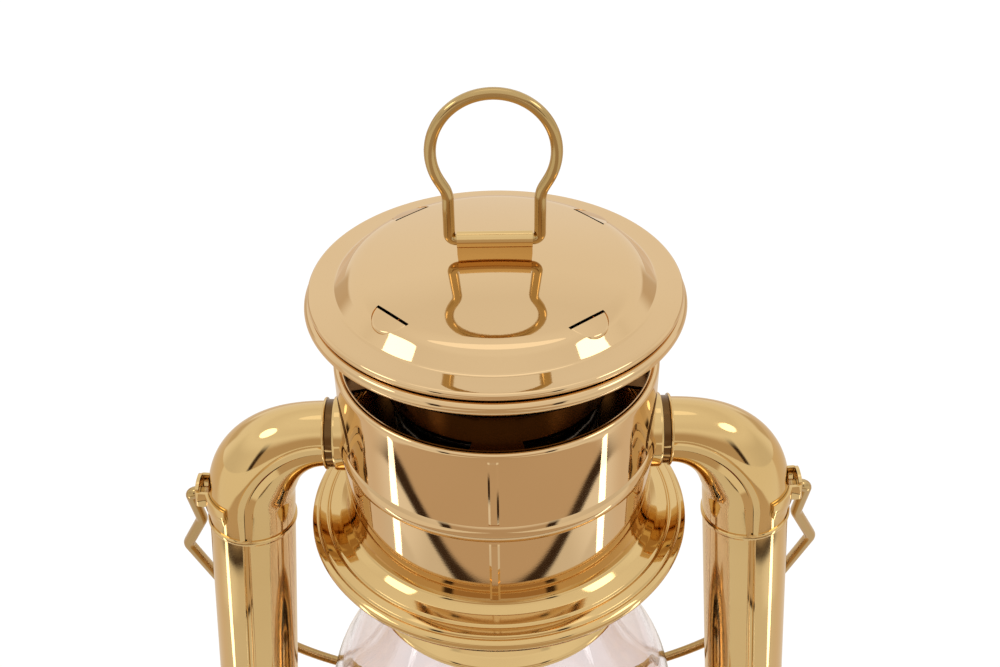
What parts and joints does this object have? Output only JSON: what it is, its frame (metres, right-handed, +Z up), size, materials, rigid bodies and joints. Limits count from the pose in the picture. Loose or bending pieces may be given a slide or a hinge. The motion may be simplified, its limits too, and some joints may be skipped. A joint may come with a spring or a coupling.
{
  "type": "hurricane lantern",
  "caption": "Tubular brass hurricane lantern: round tank, flat-wick burner and glass globe between side tubes, under a drum and sprung louvred hood with a lift ring and wire bail.",
  "frame": {"origin": "centre of the tank's rest ring, on the ground", "axes": "+Z up through the chimney, +X through the right side tube, -Y towards the front with the wick knob"},
  "size_m": [0.203, 0.1866, 0.3811],
  "materials": {
    "brass": "polished, clear lacquered",
    "glass": "clear blown glass",
    "wick_cotton": "woven flat wick",
    "spring_steel": "drawn wire",
    "cork": "pressed cork"
  },
  "bodies": {
    "frame": {"tank_shell": "brass", "tank_base": "brass", "filler_neck": "brass", "air_chamber": "brass", "lower_collar_left": "brass", "lower_collar_right": "brass", "lower_elbow_left": "brass", "lower_elbow_right": "brass", "tube_left": "brass", "tube_right": "brass", "joint_ring_left": "brass", "joint_ring_right": "brass", "elbow_left": "brass", "elbow_right": "brass", "upper_collar_left": "brass", "upper_collar_right": "brass", "drum": "brass", "drum_flange": "brass", "drum_floor": "brass", "drum_deck": "brass", "hood_spring": "spring_steel", "ear_left": "brass", "ear_right": "brass", "burner_collar": "brass", "burner_body": "brass", "burner_deck": "brass", "burner_cone": "brass", "wick_tube": "brass", "lever_bracket": "brass", "lever_pin": "brass"},
    "carriage": {"globe": "glass", "globe_plate": "brass"},
    "hood": {"hood_top": "brass", "hood_band": "brass", "hood_pan": "brass", "ring_hinge": "brass", "chimney": "brass", "bell": "brass"},
    "lift_ring": {"lift_ring": "brass"},
    "bail": {"bail": "brass"},
    "lever": {"lever": "brass"},
    "wick": {"wick": "wick_cotton"},
    "wick_winder": {"wick_shaft": "brass", "wick_knob": "brass"},
    "cap_seal": {"filler_gasket": "cork"},
    "filler_cap": {"filler_cap": "brass"}
  },
  "joints": [
    {"name": "lever_press", "type": "hinge", "parent": "frame", "child": "lever", "pos_m": [0.05111, -0.03993, 0.0867], "axis": [0.6157, 0.788, 0], "range_deg": [0, 37.11]},
    {"name": "globe_lift", "type": "slide", "parent": "frame", "child": "carriage", "axis": [0, 0, 1], "range_m": [0, 0.014]},
    {"name": "hood_lift", "type": "slide", "parent": "carriage", "child": "hood", "axis": [0, 0, 1], "range_m": [0, 0.009], "deforming": ["hood_spring"]},
    {"name": "ring_swing", "type": "hinge", "parent": "hood", "child": "lift_ring", "pos_m": [0, 0, 0.33983], "axis": [1, 0, 0], "range_deg": [-85, 85]},
    {"name": "bail_swing", "type": "hinge", "parent": "frame", "child": "bail", "pos_m": [0, 0, 0.25442], "axis": [1, 0, 0], "range_deg": [0, 321]},
    {"name": "wick_turn", "type": "hinge", "parent": "frame", "child": "wick_winder", "pos_m": [0.0055, 0, 0.066], "axis": [0, 1, 0], "range_deg": [-42.97, 85.94]},
    {"name": "wick_feed", "type": "slide", "parent": "frame", "child": "wick", "axis": [0, 0, 1], "range_m": [-0.003, 0.006]},
    {"name": "cap_rise", "type": "slide", "parent": "frame", "child": "cap_seal", "axis": [0, 0, 1], "range_m": [0, 0.0045]},
    {"name": "cap_turn", "type": "hinge", "parent": "cap_seal", "child": "filler_cap", "pos_m": [-0.05611, -0.05052, 0.05], "axis": [0, 0, 1], "range_deg": [0, 540]}
  ],
  "couplings": [
    {"joint": "lever_press", "follows": "globe_lift", "rad_per_m": 46.259},
    {"joint": "wick_feed", "follows": "wick_turn", "m_per_rad": 0.004},
    {"joint": "cap_rise", "follows": "cap_turn", "m_per_rad": 0.00047746}
  ]
}
